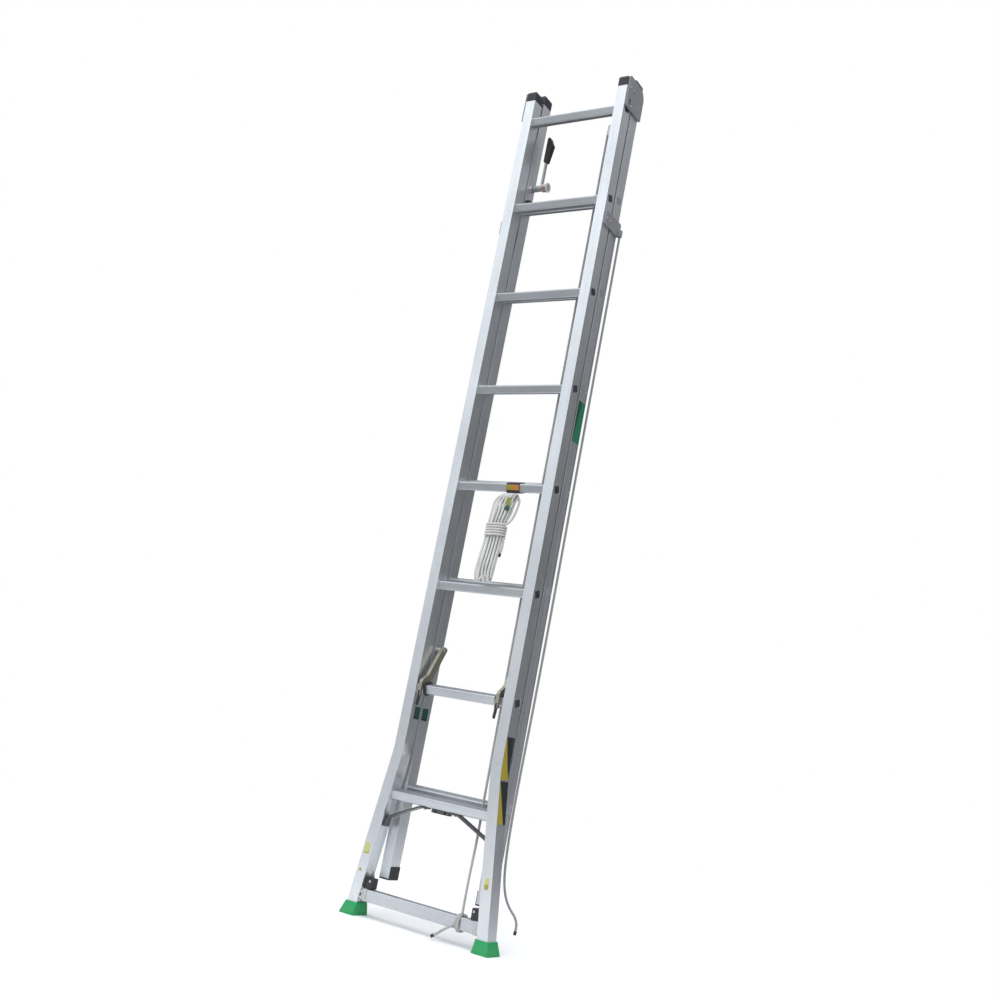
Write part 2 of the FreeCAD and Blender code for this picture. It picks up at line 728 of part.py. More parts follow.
# ---------------------------------------------------------------- assembly
def all_nodes():
    nodes = {}
    right_base = base_rail()
    right_fly = fly_rail()
    base_plugs = []
    for station in range(1, rung_count + 1):
        z = rung_height(station)
        half_len = rung_end_x(station)
        right_base = right_base.cut(rung_bar(rung_y, z, 0, -half_len - 6, half_len + 6, True))
        nodes["base_rung_%d" % station] = rung_tube(rung_y, z, half_len)
        base_plugs += rung_plugs(rung_y, z, half_len)
    fly_plugs = []
    for station in fly_stations:
        z = rung_height(station) + fly_lift
        half_len = outer_x - rung_recess
        right_fly = right_fly.cut(rung_bar(fly_rung_y, z, 0, -half_len - 6, half_len + 6, True))
        nodes["fly_rung_%d" % station] = rung_tube(fly_rung_y, z, half_len)
        fly_plugs += rung_plugs(fly_rung_y, z, half_len)
    nodes["base_rung_plugs"] = Part.makeCompound(base_plugs)
    nodes["fly_rung_plugs"] = Part.makeCompound(fly_plugs)
    pairs = {
        "base_rail": right_base,
        "fly_rail": right_fly,
        "shoe": shoe(),
        "base_cap": rail_cap(0, rail_top),
        "fly_cap": rail_cap(fly_y, fly_top),
        "fly_foot": fly_foot(),
        "bar_bracket": bar_bracket(),
        "corner_block": corner_block(),
        "rung_brace": rung_brace(),
        "top_guide": top_guide(),
        "mid_guide": mid_guide(),
        "lock_hook": lock_hook(),
        "lock_tongue": lock_tongue(),
        "lock_pin": lock_pin(),
    }
    for name, shape in pairs.items():
        nodes[name + "_right"] = shape
        nodes[name + "_left"] = mirrored(shape)
    nodes["mid_guide_right"] = joined([nodes["mid_guide_right"], line_lug()])
    ring = rung_ring()
    nodes["rung_rings"] = Part.makeCompound([ring, mirrored(ring)])
    nodes["guide_rivets"] = Part.makeCompound(guide_rivets())
    nodes["under_clip"] = under_clip()
    nodes["bottom_bar"] = bottom_bar()
    nodes["pulley_bracket"] = pulley_bracket()
    nodes["pulley_axle"] = pulley_axle()
    nodes["sheave"] = sheave()
    nodes["lever_pivot"] = lever_pivot()
    nodes["lever_arm"] = lever_arm()
    nodes["lever_grip"] = lever_grip()
    nodes["rope_anchor"] = rope_anchor()
    nodes["rope_free_run"] = rope_free_run()
    nodes["rope_hoist_run"] = rope_hoist_run()
    nodes["rope_tail"] = Part.makeCompound([rope_knot(), tube(tail_route, "rope_tail")])
    nodes["rope_hank"] = rope_hank()
    nodes["hank_strap"] = hank_strap()
    nodes["lashing_line"] = tube(lashing_route, "lashing_line")
    return nodes


os.makedirs("parts", exist_ok=True)
for node, shape in all_nodes().items():
    shape.translate(V(0, origin_y, 0))
    if not shape.isValid():
        print("not valid:", node)
    shape.exportStep("parts/%s.step" % node)
print("origin_y", origin_y, "travel", slide_travel, "sheave", sheave_x, gap_mid_y + origin_y, sheave_z)
print("lock pivot", lock_y + origin_y, lock_pivot_z, "lever pivot", lever_y + origin_y, lever_z)
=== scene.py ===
import math

import bmesh
import bpy
from mathutils import Matrix, Vector


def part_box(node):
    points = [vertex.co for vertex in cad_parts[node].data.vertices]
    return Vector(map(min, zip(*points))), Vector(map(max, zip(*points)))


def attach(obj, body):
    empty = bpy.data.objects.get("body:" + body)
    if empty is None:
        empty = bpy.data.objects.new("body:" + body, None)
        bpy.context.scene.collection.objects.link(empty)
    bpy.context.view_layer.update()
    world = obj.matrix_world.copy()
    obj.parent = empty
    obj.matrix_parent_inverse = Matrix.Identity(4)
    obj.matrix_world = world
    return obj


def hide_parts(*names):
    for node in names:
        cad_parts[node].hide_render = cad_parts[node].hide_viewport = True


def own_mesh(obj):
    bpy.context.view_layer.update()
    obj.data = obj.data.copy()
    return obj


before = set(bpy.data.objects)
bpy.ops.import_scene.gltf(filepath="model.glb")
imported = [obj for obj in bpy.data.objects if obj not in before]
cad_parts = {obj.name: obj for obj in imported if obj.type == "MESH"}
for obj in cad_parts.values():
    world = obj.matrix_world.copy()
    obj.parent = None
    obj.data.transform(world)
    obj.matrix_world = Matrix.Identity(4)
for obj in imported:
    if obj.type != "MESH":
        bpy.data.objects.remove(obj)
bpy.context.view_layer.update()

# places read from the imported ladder, in metres
baseCapLow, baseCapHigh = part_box("base_cap_right")
flyCapLow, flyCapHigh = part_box("fly_cap_right")
railInner, railOuter = baseCapLow.x, baseCapHigh.x
baseFront, baseBack = baseCapLow.y, baseCapHigh.y
flyFront, flyBack = flyCapLow.y, flyCapHigh.y
barLow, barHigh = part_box("bottom_bar")


def rungPlace(number):
    low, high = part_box("base_rung_%d" % number)
    return (low + high) / 2


cameraSettings = {
    "place": (1.9661, -2.9603, 0.5604),
    "right": (0.83753, 0.51353, 0.18662),
    "up": (-0.04394, -0.27715, 0.95982),
    "lens": 41.14,
    "sensor": 36.0,
}


def addCamera(settings):
    data = bpy.data.cameras.new("camera")
    data.lens = settings["lens"]
    data.sensor_width = settings["sensor"]
    camera = bpy.data.objects.new("camera", data)
    bpy.context.scene.collection.objects.link(camera)
    right = Vector(settings["right"]).normalized()
    up = Vector(settings["up"])
    up = (up - right * up.dot(right)).normalized()
    turn = Matrix((right, up, right.cross(up))).transposed().to_4x4()
    camera.matrix_world = Matrix.Translation(settings["place"]) @ turn
    bpy.context.scene.camera = camera


lightSettings = {
    "backdrop": (1.0, 1.0, 1.0),
    "frontLow": 0.36,       # light from the open side, at and below the horizon
    "frontHigh": 1.42,
    "backLow": 0.09,        # light from behind and from the right
    "backHigh": 0.75,
    "frontSpan": (-0.12, 0.5),      # heights over which each side goes from low to high
    "backSpan": (0.3, 0.8),
    "sideSpan": (-0.35, 0.55),
    "tint": (0.95, 0.985, 1.03),
    "openSide": (-0.56, -0.80, 0.1),
    "suns": {
        "keySun": ((0.25, -0.35, 1.0), 0.9, 40),
        "sideSun": ((1.0, -0.14, 0.10), 0.6, 100),
    },
    "floorSize": 3.2,
    "floorColour": (0.97, 0.97, 0.97),
}


def addWorld(settings):
    world = bpy.data.worlds.new("studio")
    bpy.context.scene.world = world
    world.use_nodes = True
    nodes, links = world.node_tree.nodes, world.node_tree.links
    nodes.clear()
    output = nodes.new("ShaderNodeOutputWorld")
    place = nodes.new("ShaderNodeTexCoord")
    height = nodes.new("ShaderNodeSeparateXYZ")
    links.new(place.outputs["Generated"], height.inputs[0])
    front = addRange(nodes, links, height.outputs["Z"], settings["frontLow"], settings["frontHigh"],
                     *settings["frontSpan"])
    back = addRange(nodes, links, height.outputs["Z"], settings["backLow"], settings["backHigh"],
                    *settings["backSpan"])
    dot = nodes.new("ShaderNodeVectorMath")
    dot.operation = "DOT_PRODUCT"
    dot.inputs[1].default_value = Vector(settings["openSide"]).normalized()
    links.new(place.outputs["Generated"], dot.inputs[0])
    side = addRange(nodes, links, dot.outputs["Value"], 0.0, 1.0, *settings["sideSpan"])
    blend = nodes.new("ShaderNodeMix")
    links.new(side, blend.inputs[0])
    links.new(back, blend.inputs[2])
    links.new(front, blend.inputs[3])
    light = nodes.new("ShaderNodeBackground")
    light.inputs["Color"].default_value = (*settings["tint"], 1)
    links.new(blend.outputs[0], light.inputs["Strength"])
    seen = nodes.new("ShaderNodeBackground")
    seen.inputs["Color"].default_value = (*settings["backdrop"], 1)
    path = nodes.new("ShaderNodeLightPath")
    choose = nodes.new("ShaderNodeMixShader")
    links.new(path.outputs["Is Camera Ray"], choose.inputs[0])
    links.new(light.outputs[0], choose.inputs[1])
    links.new(seen.outputs[0], choose.inputs[2])
    links.new(choose.outputs[0], output.inputs["Surface"])


def addSuns(settings):
    for name, (towards, strength, spread) in settings["suns"].items():
        data = bpy.data.lights.new(name, "SUN")
        data.energy = strength
        data.angle = math.radians(spread)
        sun = bpy.data.objects.new(name, data)
        sun.rotation_euler = Vector(towards).to_track_quat("Z", "Y").to_euler()
        bpy.context.scene.collection.objects.link(sun)


def addFloor(settings):
    deselectAll()
    bpy.ops.mesh.primitive_circle_add(vertices=96, radius=settings["floorSize"], fill_type="NGON")
    floor = bpy.context.object
    floor.name = "floor"
    material, nodes, links, shader = newMaterial("palePaper", settings["floorColour"], 0.0, 0.9)
    place = nodes.new("ShaderNodeTexCoord")
    far = nodes.new("ShaderNodeVectorMath")
    far.operation = "LENGTH"
    fade = nodes.new("ShaderNodeMapRange")
    fade.interpolation_type = "SMOOTHERSTEP"
    fade.inputs["From Min"].default_value = 0.25 * settings["floorSize"]
    fade.inputs["From Max"].default_value = 0.95 * settings["floorSize"]
    fade.inputs["To Min"].default_value = 1.0
    fade.inputs["To Max"].default_value = 0.0
    links.new(place.outputs["Object"], far.inputs[0])
    links.new(far.outputs["Value"], fade.inputs["Value"])
    links.new(fade.outputs["Result"], shader.inputs["Alpha"])
    floor.data.materials.append(material)


def deselectAll():
    if bpy.context.object and bpy.context.object.mode != "OBJECT":
        bpy.ops.object.mode_set(mode="OBJECT")
    bpy.ops.object.select_all(action="DESELECT")


def useOnly(piece):
    deselectAll()
    bpy.context.view_layer.objects.active = piece
    piece.select_set(True)


def applyPlace(piece):
    useOnly(piece)
    bpy.ops.object.transform_apply(location=True, rotation=True, scale=True)


def addBox(name, low, high):
    deselectAll()
    low, high = Vector(low), Vector(high)
    bpy.ops.mesh.primitive_cube_add(size=1, location=(low + high) / 2, scale=high - low)
    piece = bpy.context.object
    piece.name = name
    applyPlace(piece)
    return piece


def addRod(name, start, end, radius, sides=32):
    deselectAll()
    start, end = Vector(start), Vector(end)
    turn = (end - start).to_track_quat("Z", "Y").to_euler()
    bpy.ops.mesh.primitive_cylinder_add(vertices=sides, radius=radius, depth=(end - start).length,
                                        location=(start + end) / 2, rotation=turn)
    piece = bpy.context.object
    piece.name = name
    applyPlace(piece)
    return piece


def editFaces(piece, wanted):
    useOnly(piece)
    bpy.ops.object.mode_set(mode="EDIT")
    bpy.ops.mesh.select_mode(type="FACE")
    bpy.ops.mesh.select_all(action="DESELECT")
    mesh = bmesh.from_edit_mesh(piece.data)
    for face in mesh.faces:
        face.select_set(bool(wanted(face.calc_center_median(), face.normal)))
    bmesh.update_edit_mesh(piece.data)


def editEdges(piece, wanted):
    useOnly(piece)
    bpy.ops.object.mode_set(mode="EDIT")
    bpy.ops.mesh.select_mode(type="EDGE")
    bpy.ops.mesh.select_all(action="DESELECT")
    mesh = bmesh.from_edit_mesh(piece.data)
    for edge in mesh.edges:
        start, end = (vertex.co for vertex in edge.verts)
        edge.select_set(bool(wanted((start + end) / 2, (end - start).normalized())))
    bmesh.update_edit_mesh(piece.data)


def leaveEdit():
    bpy.ops.object.mode_set(mode="OBJECT")


def roundEdges(piece, width, segments=2, angle=35):
    useOnly(piece)
    bevel = piece.modifiers.new("edges", "BEVEL")
    bevel.width = width
    bevel.segments = segments
    bevel.angle_limit = math.radians(angle)
    bpy.ops.object.modifier_apply(modifier=bevel.name)


def finishPiece(piece, material, body, smooth=35):
    useOnly(piece)
    if smooth:
        bpy.ops.object.shade_smooth_by_angle(angle=math.radians(smooth))
    piece.data.materials.clear()
    piece.data.materials.append(material)
    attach(piece, body)
    return piece


def newMaterial(name, colour, metallic, roughness):
    material = bpy.data.materials.new(name)
    material.use_nodes = True
    nodes, links = material.node_tree.nodes, material.node_tree.links
    shader = nodes["Principled BSDF"]
    shader.inputs["Base Color"].default_value = (*colour, 1)
    shader.inputs["Metallic"].default_value = metallic
    shader.inputs["Roughness"].default_value = roughness
    return material, nodes, links, shader


def addPattern(nodes, links, stretch, scale, detail=3.0, roughness=0.55):
    # noise on the piece's own coordinates, squeezed or stretched along each axis
    place = nodes.new("ShaderNodeTexCoord")
    mapping = nodes.new("ShaderNodeMapping")
    mapping.inputs["Scale"].default_value = stretch
    noise = nodes.new("ShaderNodeTexNoise")
    noise.inputs["Scale"].default_value = scale
    noise.inputs["Detail"].default_value = detail
    noise.inputs["Roughness"].default_value = roughness
    links.new(place.outputs["Object"], mapping.inputs["Vector"])
    links.new(mapping.outputs["Vector"], noise.inputs["Vector"])
    return noise.outputs["Fac"]


def addRange(nodes, links, value, low, high, fromLow=0.3, fromHigh=0.7):
    span = nodes.new("ShaderNodeMapRange")
    span.inputs["From Min"].default_value = fromLow
    span.inputs["From Max"].default_value = fromHigh
    span.inputs["To Min"].default_value = low
    span.inputs["To Max"].default_value = high
    links.new(value, span.inputs["Value"])
    return span.outputs["Result"]


def addMix(nodes, links, share, first, second):
    mix = nodes.new("ShaderNodeMix")
    mix.data_type = "RGBA"
    links.new(share, mix.inputs[0])
    for socket, colour in ((mix.inputs[6], first), (mix.inputs[7], second)):
        if isinstance(colour, tuple):
            socket.default_value = (*colour, 1)
        else:
            links.new(colour, socket)
    return mix.outputs[2]


def addBump(nodes, links, shader, value, strength, distance):
    bump = nodes.new("ShaderNodeBump")
    bump.inputs["Strength"].default_value = strength
    bump.inputs["Distance"].default_value = distance
    links.new(value, bump.inputs["Height"])
    links.new(bump.outputs["Normal"], shader.inputs["Normal"])
    return bump


def satinMetal(name, settings):
    # drawn metal: fine lines along the grain, cloudy oxide, a few dull spots
    material, nodes, links, shader = newMaterial(name, settings["light"], settings["metallic"],
                                                 settings["rough"])
    lines = addPattern(nodes, links, settings["grain"], 1.0, 4.0, 0.6)
    clouds = addPattern(nodes, links, (1, 1, 1), settings["cloudScale"], 3.0)
    spots = addPattern(nodes, links, (1, 1, 1), settings["spotScale"], 6.0, 0.7)
    tone = addMix(nodes, links, addRange(nodes, links, clouds, 0.0, 1.0), settings["light"], settings["dull"])
    tone = addMix(nodes, links, addRange(nodes, links, spots, 0.0, settings["spotShare"], 0.58, 0.72),
                  tone, settings["stain"])
    streaks = addMix(nodes, links, addRange(nodes, links, lines, 0.0, settings["lineShare"], 0.35, 0.75),
                     tone, settings["stain"])
    links.new(streaks, shader.inputs["Base Color"])
    rough = addRange(nodes, links, lines, settings["rough"] - 0.07, settings["rough"] + 0.09)
    links.new(rough, shader.inputs["Roughness"])
    addBump(nodes, links, shader, lines, settings["bump"], 0.0004)
    return material


def mouldedPlastic(name, colour, worn, rough=0.5, bump=0.25):
    # moulded grain with a scuffed, lighter tone in places
    material, nodes, links, shader = newMaterial(name, colour, 0.0, rough)
    grain = addPattern(nodes, links, (1, 1, 1), 900.0, 2.0)
    scuffs = addPattern(nodes, links, (1, 1, 0.35), 38.0, 6.0, 0.7)
    tone = addMix(nodes, links, addRange(nodes, links, scuffs, 0.0, 0.7, 0.5, 0.8), colour, worn)
    links.new(tone, shader.inputs["Base Color"])
    links.new(addRange(nodes, links, scuffs, rough - 0.08, rough + 0.14), shader.inputs["Roughness"])
    addBump(nodes, links, shader, grain, bump, 0.0002)
    return material


def mouldedRubber(name, colour, dusty):
    material, nodes, links, shader = newMaterial(name, colour, 0.0, 0.62)
    shader.inputs["Specular IOR Level"].default_value = 0.35
    grain = addPattern(nodes, links, (1, 1, 1), 620.0, 3.0)
    dust = addPattern(nodes, links, (1, 1, 1.6), 26.0, 7.0, 0.7)
    place = nodes.new("ShaderNodeTexCoord")
    height = nodes.new("ShaderNodeSeparateXYZ")
    links.new(place.outputs["Object"], height.inputs[0])
    low = addRange(nodes, links, height.outputs["Z"], 0.85, 0.1, 0.0, 0.03)     # dust gathers low down
    both = nodes.new("ShaderNodeMath")
    both.operation = "MULTIPLY"
    links.new(addRange(nodes, links, dust, 0.0, 1.0, 0.4, 0.75), both.inputs[0])
    links.new(low, both.inputs[1])
    links.new(addMix(nodes, links, both.outputs[0], colour, dusty), shader.inputs["Base Color"])
    addBump(nodes, links, shader, grain, 0.3, 0.0003)
    return material


def ropeFibre(name, settings):
    # fibres run along each strand; the piece's UV map is metres along and turns round
    material, nodes, links, shader = newMaterial(name, settings["light"], 0.0, 0.85)
    shader.inputs["Sheen Weight"].default_value = 0.25
    shader.inputs["Sheen Roughness"].default_value = 0.5
    place = nodes.new("ShaderNodeTexCoord")
    mapping = nodes.new("ShaderNodeMapping")
    mapping.inputs["Scale"].default_value = (settings["along"], settings["round"], 1)
    noise = nodes.new("ShaderNodeTexNoise")
    noise.inputs["Scale"].default_value = 1.0
    noise.inputs["Detail"].default_value = 4.0
    links.new(place.outputs["UV"], mapping.inputs["Vector"])
    links.new(mapping.outputs["Vector"], noise.inputs["Vector"])
    soil = addPattern(nodes, links, (1, 1, 1), settings["soilScale"], 4.0)
    tone = addMix(nodes, links, addRange(nodes, links, noise.outputs["Fac"], 0.0, 1.0), settings["light"],
                  settings["shade"])
    tone = addMix(nodes, links, addRange(nodes, links, soil, 0.0, 0.6, 0.45, 0.75), tone, settings["soil"])
    links.new(tone, shader.inputs["Base Color"])
    addBump(nodes, links, shader, noise.outputs["Fac"], 0.5, 0.0005)
    return material


def printedLabel(name, first, second, centre, slope, edge=0.001):
    # two printed colours that meet on a straight line in the label's own plane
    material, nodes, links, shader = newMaterial(name, first, 0.0, 0.42)
    shader.inputs["Coat Weight"].default_value = 0.25
    shader.inputs["Coat Roughness"].default_value = 0.3
    place = nodes.new("ShaderNodeTexCoord")
    mapping = nodes.new("ShaderNodeMapping")
    mapping.inputs["Location"].default_value = [-value for value in centre]
    across = nodes.new("ShaderNodeVectorMath")
    across.operation = "DOT_PRODUCT"
    across.inputs[1].default_value = slope
    links.new(place.outputs["Object"], mapping.inputs["Vector"])
    links.new(mapping.outputs["Vector"], across.inputs[0])
    share = addRange(nodes, links, across.outputs["Value"], 0.0, 1.0, -edge, edge)
    tone = addMix(nodes, links, share, first, second)
    wear = addPattern(nodes, links, (1, 1, 0.5), 70.0, 6.0, 0.75)
    faded = tuple(0.6 * a + 0.4 * 0.5 for a in first)
    tone = addMix(nodes, links, addRange(nodes, links, wear, 0.0, 0.5, 0.6, 0.8), tone, faded)
    links.new(tone, shader.inputs["Base Color"])
    addBump(nodes, links, shader, wear, 0.15, 0.0002)
    return material


metalSettings = {
    "light": (0.79, 0.81, 0.83), "dull": (0.69, 0.71, 0.74), "stain": (0.46, 0.48, 0.51), "metallic": 0.92,
    "rough": 0.36, "grain": (420, 420, 5), "cloudScale": 5.0, "spotScale": 55.0,
    "spotShare": 0.35, "lineShare": 0.25, "bump": 0.16,
}
railMetal = satinMetal("railAluminium", metalSettings)
# darker copy of the rail aluminium: painted shade for the rung faces turned away from the light, shared by
# the bottom bar
shadedRungMetal = satinMetal("shadedRungAluminium", {
    **metalSettings, "light": (0.62, 0.64, 0.66), "dull": (0.52, 0.54, 0.57),
    "stain": (0.36, 0.37, 0.39), "grain": (5, 420, 420), "rough": 0.42,
})
turnedSteel = satinMetal("turnedSteel", {
    **metalSettings, "light": (0.72, 0.69, 0.68), "dull": (0.6, 0.57, 0.56),
    "stain": (0.35, 0.32, 0.3), "grain": (60, 60, 60), "rough": 0.3,
})
platedSteel = satinMetal("yellowZinc", {
    **metalSettings, "light": (0.46, 0.44, 0.35), "dull": (0.38, 0.36, 0.29),
    "stain": (0.18, 0.16, 0.11), "grain": (90, 90, 90), "rough": 0.42,
})
braceMetal = satinMetal("braceSteel", {
    **metalSettings, "light": (0.60, 0.61, 0.62), "dull": (0.5, 0.51, 0.53),
    "stain": (0.3, 0.29, 0.28), "grain": (120, 120, 120), "rough": 0.45,
})
strapWeb = mouldedPlastic("strapWeb", (0.05, 0.035, 0.055), (0.10, 0.08, 0.11), 0.8, 0.6)
blackPlastic = mouldedPlastic("blackPlastic", (0.018, 0.018, 0.022), (0.07, 0.07, 0.08))
capPlastic = mouldedPlastic("capPlastic", (0.02, 0.018, 0.032), (0.07, 0.065, 0.10), 0.42)
plugPlastic = mouldedPlastic("plugPlastic", (0.026, 0.025, 0.036), (0.075, 0.075, 0.09))
guidePlastic = mouldedPlastic("guidePlastic", (0.28, 0.28, 0.30), (0.42, 0.42, 0.44), 0.48)
# near-black steel for the braces and clips under the rungs: painted shade, their plated steel darkened as if
# lying in the rungs' shade
paintedShadeSteel = satinMetal("paintedShadeSteel", {
    **metalSettings, "light": (0.13, 0.13, 0.14), "dull": (0.10, 0.10, 0.11),
    "stain": (0.05, 0.05, 0.05), "metallic": 0.6, "grain": (90, 90, 90),
})
whitePlastic = mouldedPlastic("whitePlastic", (0.80, 0.80, 0.77), (0.62, 0.61, 0.58), 0.4, 0.1)
shoeRubber = mouldedRubber("greenRubber", (0.012, 0.29, 0.09), (0.12, 0.27, 0.14))
ropeSettings = {
    "light": (0.80, 0.79, 0.77), "shade": (0.60, 0.60, 0.59), "soil": (0.50, 0.49, 0.47),
    "along": 180.0, "round": 22.0, "soilScale": 14.0,
}
ropeMaterial = ropeFibre("paleRope", ropeSettings)
haulMaterial = ropeFibre("haulRope", {
    **ropeSettings, "light": (0.50, 0.49, 0.48), "shade": (0.33, 0.33, 0.33), "soil": (0.30, 0.29, 0.27),
})
# darker grey copy of the rope fibre for the slack line: painted shade, as the line hangs behind the rails in
# shade
shadedLineMaterial = ropeFibre("shadedGreyLine", {
    **ropeSettings, "light": (0.34, 0.34, 0.35), "shade": (0.22, 0.22, 0.23), "soil": (0.26, 0.24, 0.22),
})
print("materials ready:", len(bpy.data.materials))


def finishFor(node):
    # first match wins, so the plugs come before the rungs
    finishes = [
        (("base_rail", "fly_rail"), railMetal),
        (("base_rung_plugs",), plugPlastic),
        (("fly_rung_plugs", "top_guide", "mid_guide"), guidePlastic),
        (("hank_strap",), strapWeb),
        (("base_rung", "fly_rung", "bottom_bar"), shadedRungMetal),
        (("base_cap", "fly_cap"), capPlastic),
        (("fly_foot", "corner_block", "lock_tongue", "lever_grip", "rung_rings"), blackPlastic),
        (("shoe",), shoeRubber),
        (("sheave",), whitePlastic),
        (("lock_hook", "rope_anchor"), platedSteel),
        (("rung_brace", "under_clip"), paintedShadeSteel),
        (("pulley_bracket", "bar_bracket", "lever_arm"), braceMetal),
        (("lock_pin", "guide_rivets", "pulley_axle", "lever_pivot"), turnedSteel),
    ]
    for starts, material in finishes:
        if node.startswith(starts):
            return material
    return ropeMaterial


edgeSettings = {
    "base_rail": 0.0016, "fly_rail": 0.0016, "fly_foot": 0.0008, "bar_bracket": 0.0006,
    "corner_block": 0.001, "rung_brace": 0.001, "under_clip": 0.0008, "top_guide": 0.0012,
    "mid_guide": 0.0012, "lever_arm": 0.0008, "lever_grip": 0.0015, "lock_hook": 0.0009,
    "rope_anchor": 0.0012, "shoe": 0.0015, "pulley_bracket": 0.0005, "rung_rings": 0.0008,
    "lock_tongue": 0.0007,
}


def dressNodes():
    for name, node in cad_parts.items():
        material = finishFor(name)
        for slotOfNode in node.material_slots:
            slotOfNode.material = material
        if not node.material_slots:
            node.data.materials.append(material)
        width = next((w for start, w in edgeSettings.items() if name.startswith(start)), 0)
        if width:
            weld = node.modifiers.new("weld", "WELD")
            weld.merge_threshold = 0.00001
            bevel = node.modifiers.new("edges", "BEVEL")
            bevel.width = width
            bevel.segments = 2
            bevel.angle_limit = math.radians(40)
            bevel.harden_normals = True
    print("packed nodes dressed")


dressNodes()
addCamera(cameraSettings)
addWorld(lightSettings)
addSuns(lightSettings)
addFloor(lightSettings)
bpy.context.scene.view_settings.view_transform = "Standard"


ropeShape = {"sides": 18, "step": 0.0024, "strands": 3, "lay": 0.03, "groove": 0.2}


def smoothLine(route, name):
    # points along the route's smooth curve, evenly spaced
    curve = bpy.data.curves.new(name + "Route", "CURVE")
    curve.dimensions = "3D"
    curve.resolution_u = 24
    spline = curve.splines.new("NURBS")
    spline.points.add(len(route) - 1)
    for point, place in zip(spline.points, route):
        point.co = (*place, 1)
    spline.order_u = 3
    spline.use_endpoint_u = True
    holder = bpy.data.objects.new(name + "Route", curve)
    bpy.context.scene.collection.objects.link(holder)
    mesh = bpy.data.meshes.new_from_object(holder)
    found = [vertex.co.copy() for vertex in mesh.vertices]
    bpy.data.objects.remove(holder)
    step = ropeShape["step"]
    line, spare = [found[0]], 0.0
    for start, end in zip(found, found[1:]):
        long = (end - start).length
        along = step - spare
        while along < long:
            line.append(start.lerp(end, along / long))
            along += step
        spare = long - (along - step)
    if (line[-1] - found[-1]).length > step * 0.3:
        line.append(found[-1])
    return line


def layRope(name, route, radius, material, body, replaces=()):
    # twisted strands swept along the line; returns the piece and the line
    line = smoothLine(route, name)
    sides, strands = ropeShape["sides"], ropeShape["strands"]
    lay = ropeShape["lay"] * radius / 0.004
    along = (line[1] - line[0]).normalized()
    across = along.orthogonal().normalized()
    vertices, faces, places = [], [], []
    travelled = 0.0
    for i, point in enumerate(line):
        before, after = line[max(i - 1, 0)], line[min(i + 1, len(line) - 1)]
        along = (after - before).normalized()
        across = (across - along * across.dot(along)).normalized()
        side = along.cross(across)
        travelled += (point - before).length
        inward = min(i, len(line) - 1 - i) * ropeShape["step"] / (0.6 * radius)
        tip = math.sqrt(max(0.0, 1 - (1 - min(1.0, inward + 0.35)) ** 2))
        for k in range(sides):
            turn = 2 * math.pi * k / sides
            lobe = abs(math.cos(strands / 2 * turn - math.pi * strands * travelled / lay))
            out = radius * tip * (1 - ropeShape["groove"] * (1 - lobe))
            vertices.append(point + (across * math.cos(turn) + side * math.sin(turn)) * out)
            places.append((travelled, k / sides + travelled / lay))
    for i in range(len(line) - 1):
        for k in range(sides):
            a, b = i * sides + k, i * sides + (k + 1) % sides
            faces.append((a, b, b + sides, a + sides))
    faces.append(tuple(range(sides - 1, -1, -1)))
    faces.append(tuple(range((len(line) - 1) * sides, len(line) * sides)))
    mesh = bpy.data.meshes.new(name)
    mesh.from_pydata(vertices, [], faces)
    uv = mesh.uv_layers.new(name="along")
    for loop in mesh.loops:
        uv.data[loop.index].uv = places[loop.vertex_index]
    piece = bpy.data.objects.new(name, mesh)
    bpy.context.scene.collection.objects.link(piece)
    finishPiece(piece, material, body, 60)
    if replaces:
        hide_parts(*replaces)
    return piece, line


def lengthOf(line):
    return sum((b - a).length for a, b in zip(line, line[1:]))


def addWhipping(name, line, radius, body, fromEnd=0.0, long=0.012):
    # bound sleeve round a rope's end, on its own line
    count = max(3, int(long / ropeShape["step"]))
    skip = int(fromEnd / ropeShape["step"])
    end = len(line) - 1 - skip
    start, stop = line[end - count], line[end]
    sleeve = addRod(name, start, stop, radius * 1.16, 20)
    middle, along = (start + stop) / 2, (stop - start).normalized()
    editFaces(sleeve, lambda centre, normal: abs(normal.dot(along)) < 0.5)
    bpy.ops.mesh.subdivide(number_cuts=1)
    leaveEdit()
    roundEdges(sleeve, radius * 0.25, 2, 50)
    return finishPiece(sleeve, blackPlastic, body)


rope = {"radius": 0.004}
sheaveLow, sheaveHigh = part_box("sheave")
sheaveMid = (sheaveLow + sheaveHigh) / 2
runLow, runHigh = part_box("rope_hoist_run")
runX = (runLow.x + runHigh.x) / 2
bend = runX - sheaveMid.x       # rope's centre line round the sheave

# over the sheave, down inside the right rails, out to the bottom bar
freeRoute = [
    (runX, sheaveMid.y, sheaveMid.z), (runX, sheaveMid.y, sheaveMid.z + bend * 0.42),
    (runX - bend * 0.42, sheaveMid.y, sheaveMid.z + bend * 1.04),
    (sheaveMid.x + bend * 0.05, sheaveMid.y, sheaveMid.z + bend * 1.16),
    (sheaveMid.x - bend * 0.62, sheaveMid.y, sheaveMid.z + bend * 1.0),
    (sheaveMid.x - bend, sheaveMid.y, sheaveMid.z + bend * 0.42),
    (0.124, 0.00375, 2.58), (0.1245, 0.0038, 1.6), (0.125, 0.00395, 0.440), (0.127, 0.00395, 0.368),
    (0.131, -0.00175, 0.306), (0.137, -0.01325, 0.250), (0.142, -0.02425, 0.196),
    (0.145, -0.02925, 0.140), (0.145, -0.02925, 0.0885),
]


